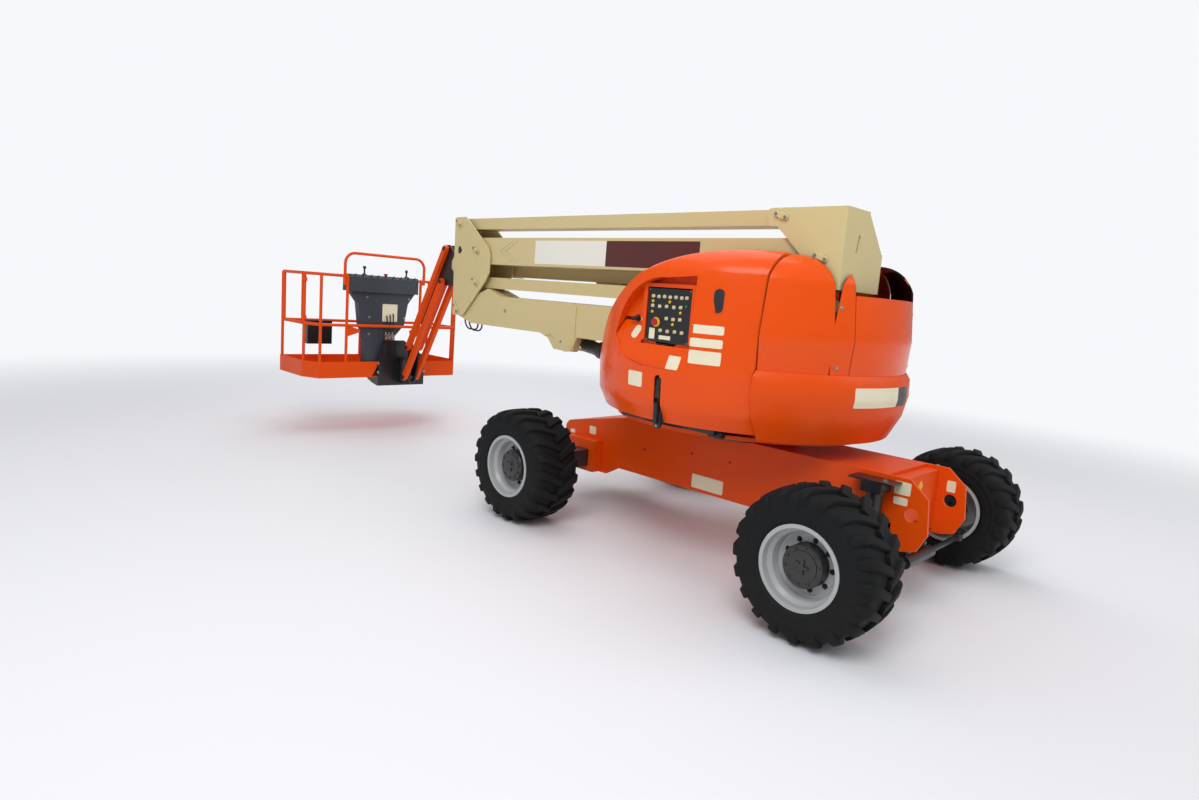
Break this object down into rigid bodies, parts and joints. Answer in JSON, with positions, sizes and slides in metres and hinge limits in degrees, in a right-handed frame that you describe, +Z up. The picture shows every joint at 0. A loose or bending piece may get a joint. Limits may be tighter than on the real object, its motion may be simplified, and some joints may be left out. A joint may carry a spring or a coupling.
{
  "type": "articulating boom lift",
  "caption": "Self-propelled articulating boom lift with a double-parallelogram tower, telescopic boom, jib and platform, stowed.",
  "frame": {"origin": "on the ground, at the middle of the stowed machine's bounding box", "axes": "+X towards the steered axle and counterweight, +Y to the machine's left, +Z up"},
  "size_m": [6.797, 2.34, 2.2698],
  "materials": {
    "orange_paint": "gloss",
    "orange_gelcoat": "gloss moulded",
    "cream_paint": "satin",
    "black_paint": "satin",
    "rim_paint": "satin grey",
    "tyre_rubber": "matte",
    "chrome_rod": "polished",
    "black_plastic": "matte",
    "console_plastic": "matte",
    "nylon_pad": "matte",
    "hose_rubber": "matte",
    "engine_iron": "cast"
  },
  "bodies": {
    "chassis": {"chassis_frame": "orange_paint", "rear_axle": "black_paint", "front_axle": "black_paint", "axle_lock_cylinders": "black_paint", "steering_cylinder": "black_paint"},
    "steering_rod": {"steering_rod": "black_paint"},
    "front_left_knuckle": {"front_left_knuckle": "black_paint"},
    "front_right_knuckle": {"front_right_knuckle": "black_paint"},
    "front_left_wheel": {"front_left_tyre": "tyre_rubber", "front_left_rim": "rim_paint"},
    "front_right_wheel": {"front_right_tyre": "tyre_rubber", "front_right_rim": "rim_paint"},
    "rear_left_wheel": {"rear_left_tyre": "tyre_rubber", "rear_left_rim": "rim_paint"},
    "rear_right_wheel": {"rear_right_tyre": "tyre_rubber", "rear_right_rim": "rim_paint"},
    "turntable": {"swing_bearing": "black_paint", "turntable_frame": "orange_paint", "counterweight": "orange_paint", "rear_covers": "orange_gelcoat", "engine": "engine_iron", "hydraulic_tank": "black_paint", "ground_control_panel": "black_plastic"},
    "near_hood": {"near_hood": "orange_gelcoat"},
    "far_hood": {"far_hood": "orange_gelcoat"},
    "lower_boom": {"lower_boom": "cream_paint", "tower_hoses": "hose_rubber"},
    "lower_link": {"lower_link": "cream_paint"},
    "tower_upright": {"tower_upright": "cream_paint"},
    "mid_boom": {"mid_boom": "cream_paint"},
    "upper_link": {"upper_link": "cream_paint"},
    "tower_riser": {"tower_riser": "cream_paint"},
    "main_boom": {"main_boom": "cream_paint", "boom_wear_pads": "nylon_pad"},
    "fly_boom": {"fly_boom": "cream_paint"},
    "jib_base": {"jib_base": "black_paint"},
    "jib_upper_arms": {"jib_upper_arms": "orange_paint"},
    "jib_lower_arms": {"jib_lower_arms": "orange_paint"},
    "platform_support": {"platform_support": "black_paint"},
    "platform": {"platform_mount": "black_paint", "platform_floor": "orange_paint", "platform_rails": "orange_paint", "platform_console": "console_plastic", "manual_box": "black_paint"},
    "platform_gate": {"platform_gate": "orange_paint"},
    "tower_cylinder_barrel": {"tower_cylinder_barrel": "black_paint"},
    "tower_cylinder_rod": {"tower_cylinder_rod": "chrome_rod"},
    "boom_cylinder_barrel": {"boom_cylinder_barrel": "black_paint"},
    "boom_cylinder_rod": {"boom_cylinder_rod": "chrome_rod"},
    "level_cylinder_barrel": {"level_cylinder_barrel": "black_paint"},
    "level_cylinder_rod": {"level_cylinder_rod": "chrome_rod"},
    "jib_cylinder_barrel": {"jib_cylinder_barrel": "black_paint"},
    "jib_cylinder_rod": {"jib_cylinder_rod": "chrome_rod"}
  },
  "joints": [
    {"name": "front_left_steer", "type": "hinge", "parent": "chassis", "child": "front_left_knuckle", "pos_m": [2.9915, 0.7, 0.407], "axis": [0, 0, 1], "range_deg": [-38, 38]},
    {"name": "front_right_steer", "type": "hinge", "parent": "chassis", "child": "front_right_knuckle", "pos_m": [2.9915, -0.7, 0.407], "axis": [0, 0, 1], "range_deg": [-38, 38]},
    {"name": "steering_rod_travel", "type": "slide", "parent": "chassis", "child": "steering_rod", "axis": [0, 1, 0], "range_m": [-0.1, 0.1]},
    {"name": "front_left_wheel_spin", "type": "hinge", "parent": "front_left_knuckle", "child": "front_left_wheel", "pos_m": [2.9915, 0.98, 0.407], "axis": [0, 1, 0], "continuous": true},
    {"name": "front_right_wheel_spin", "type": "hinge", "parent": "front_right_knuckle", "child": "front_right_wheel", "pos_m": [2.9915, -0.98, 0.407], "axis": [0, 1, 0], "continuous": true},
    {"name": "rear_left_wheel_spin", "type": "hinge", "parent": "chassis", "child": "rear_left_wheel", "pos_m": [0.6515, 0.98, 0.407], "axis": [0, 1, 0], "continuous": true},
    {"name": "rear_right_wheel_spin", "type": "hinge", "parent": "chassis", "child": "rear_right_wheel", "pos_m": [0.6515, -0.98, 0.407], "axis": [0, 1, 0], "continuous": true},
    {"name": "swing", "type": "hinge", "parent": "chassis", "child": "turntable", "pos_m": [1.8215, 0, 0.79], "axis": [0, 0, 1], "range_deg": [-177.5, 177.5]},
    {"name": "near_hood_lift", "type": "hinge", "parent": "turntable", "child": "near_hood", "pos_m": [2.2215, -0.572, 1.94], "axis": [-1, 0, 0], "range_deg": [0, 60]},
    {"name": "far_hood_lift", "type": "hinge", "parent": "turntable", "child": "far_hood", "pos_m": [2.2215, 0.102, 1.94], "axis": [1, 0, 0], "range_deg": [0, 60]},
    {"name": "tower_lift", "type": "hinge", "parent": "turntable", "child": "lower_boom", "pos_m": [2.2875, -0.36, 1.448], "axis": [0, 1, 0], "range_deg": [0, 68]},
    {"name": "lower_link_turn", "type": "hinge", "parent": "turntable", "child": "lower_link", "pos_m": [2.5605, -0.36, 1.702], "axis": [0, 1, 0], "range_deg": [0, 68]},
    {"name": "upright_turn", "type": "hinge", "parent": "lower_boom", "child": "tower_upright", "pos_m": [-1.0475, -0.36, 1.448], "axis": [0, 1, 0], "range_deg": [-68, 0]},
    {"name": "mid_boom_turn", "type": "hinge", "parent": "tower_upright", "child": "mid_boom", "pos_m": [-0.7765, -0.36, 1.978], "axis": [0, 1, 0], "range_deg": [-68, 0]},
    {"name": "upper_link_turn", "type": "hinge", "parent": "tower_upright", "child": "upper_link", "pos_m": [-1.0595, -0.36, 2.216], "axis": [0, 1, 0], "range_deg": [-68, 0]},
    {"name": "riser_turn", "type": "hinge", "parent": "mid_boom", "child": "tower_riser", "pos_m": [2.5585, -0.36, 1.978], "axis": [0, 1, 0], "range_deg": [0, 68]},
    {"name": "boom_lift", "type": "hinge", "parent": "tower_riser", "child": "main_boom", "pos_m": [2.4615, -0.12, 1.99], "axis": [0, 1, 0], "range_deg": [0, 75]},
    {"name": "telescope", "type": "slide", "parent": "main_boom", "child": "fly_boom", "axis": [-1, 0, 0], "range_m": [0, 1.75]},
    {"name": "level_turn", "type": "hinge", "parent": "fly_boom", "child": "jib_base", "pos_m": [-1.5785, -0.12, 1.85], "axis": [0, 1, 0], "range_deg": [-75, 0]},
    {"name": "jib_lift", "type": "hinge", "parent": "jib_base", "child": "jib_upper_arms", "pos_m": [-1.7385, -0.12, 2.01], "axis": [0, 1, 0], "range_deg": [0, 144]},
    {"name": "jib_lower_turn", "type": "hinge", "parent": "jib_base", "child": "jib_lower_arms", "pos_m": [-1.7835, -0.12, 1.68], "axis": [0, 1, 0], "range_deg": [0, 144]},
    {"name": "support_turn", "type": "hinge", "parent": "jib_upper_arms", "child": "platform_support", "pos_m": [-2.37715, -0.12, 0.94711], "axis": [0, 1, 0], "range_deg": [-144, 0]},
    {"name": "platform_rotate", "type": "hinge", "parent": "platform_support", "child": "platform", "pos_m": [-2.5135, -0.12, 0.7], "axis": [0, 0, 1], "range_deg": [-90, 90]},
    {"name": "gate_swing", "type": "hinge", "parent": "platform", "child": "platform_gate", "pos_m": [-2.8385, -1.139, 1.4], "axis": [0, 0, 1], "range_deg": [-85, 0]},
    {"name": "tower_cylinder_pivot", "type": "hinge", "parent": "turntable", "child": "tower_cylinder_barrel", "pos_m": [1.6215, -0.36, 1.13], "axis": [0, 1, 0], "range_deg": [0, 77.58]},
    {"name": "tower_cylinder_stroke", "type": "slide", "parent": "tower_cylinder_barrel", "child": "tower_cylinder_rod", "axis": [-0.9912, 0, 0.1321], "range_m": [0, 0.7878]},
    {"name": "boom_cylinder_pivot", "type": "hinge", "parent": "tower_riser", "child": "boom_cylinder_barrel", "pos_m": [2.0915, -0.12, 1.5], "axis": [0, 1, 0], "range_deg": [0, 72.41]},
    {"name": "boom_cylinder_stroke", "type": "slide", "parent": "boom_cylinder_barrel", "child": "boom_cylinder_rod", "axis": [-0.9915, 0, 0.1305], "range_m": [0, 0.74324]},
    {"name": "level_cylinder_pivot", "type": "hinge", "parent": "fly_boom", "child": "level_cylinder_barrel", "pos_m": [-1.0385, -0.12, 1.69], "axis": [0, 1, 0], "range_deg": [0, 17.11]},
    {"name": "level_cylinder_stroke", "type": "slide", "parent": "level_cylinder_barrel", "child": "level_cylinder_rod", "axis": [-1, 0, 0], "range_m": [-0.13722, 0]},
    {"name": "jib_cylinder_pivot", "type": "hinge", "parent": "jib_base", "child": "jib_cylinder_barrel", "pos_m": [-1.8135, -0.12, 1.9], "axis": [0, 1, 0], "range_deg": [0, 148]},
    {"name": "jib_cylinder_stroke", "type": "slide", "parent": "jib_cylinder_barrel", "child": "jib_cylinder_rod", "axis": [-0.5091, 0, -0.8607], "range_m": [0, 0.23908]}
  ],
  "couplings": [
    {"joint": "front_right_steer", "follows": "front_left_steer", "ratio": 1},
    {"joint": "steering_rod_travel", "follows": "front_left_steer", "m_per_rad": 0.15},
    {"joint": "lower_link_turn", "follows": "tower_lift", "ratio": 1},
    {"joint": "upright_turn", "follows": "tower_lift", "ratio": -1},
    {"joint": "mid_boom_turn", "follows": "tower_lift", "ratio": -1},
    {"joint": "upper_link_turn", "follows": "tower_lift", "ratio": -1},
    {"joint": "riser_turn", "follows": "tower_lift", "ratio": 1},
    {"joint": "level_turn", "follows": "boom_lift", "ratio": -1},
    {"joint": "jib_lower_turn", "follows": "jib_lift", "ratio": 1},
    {"joint": "support_turn", "follows": "jib_lift", "ratio": -1},
    {"joint": "tower_cylinder_pivot", "follows": "tower_lift", "ratio": 1.1408},
    {"joint": "tower_cylinder_stroke", "follows": "tower_lift", "m_per_rad": 0.66337},
    {"joint": "boom_cylinder_pivot", "follows": "boom_lift", "ratio": 0.96533},
    {"joint": "boom_cylinder_stroke", "follows": "boom_lift", "m_per_rad": 0.56741},
    {"joint": "level_cylinder_pivot", "follows": "boom_lift", "ratio": 0.22801},
    {"joint": "level_cylinder_stroke", "follows": "boom_lift", "m_per_rad": -0.10444},
    {"joint": "jib_cylinder_pivot", "follows": "jib_lift", "ratio": 1.0277},
    {"joint": "jib_cylinder_stroke", "follows": "jib_lift", "m_per_rad": 0.094927}
  ]
}
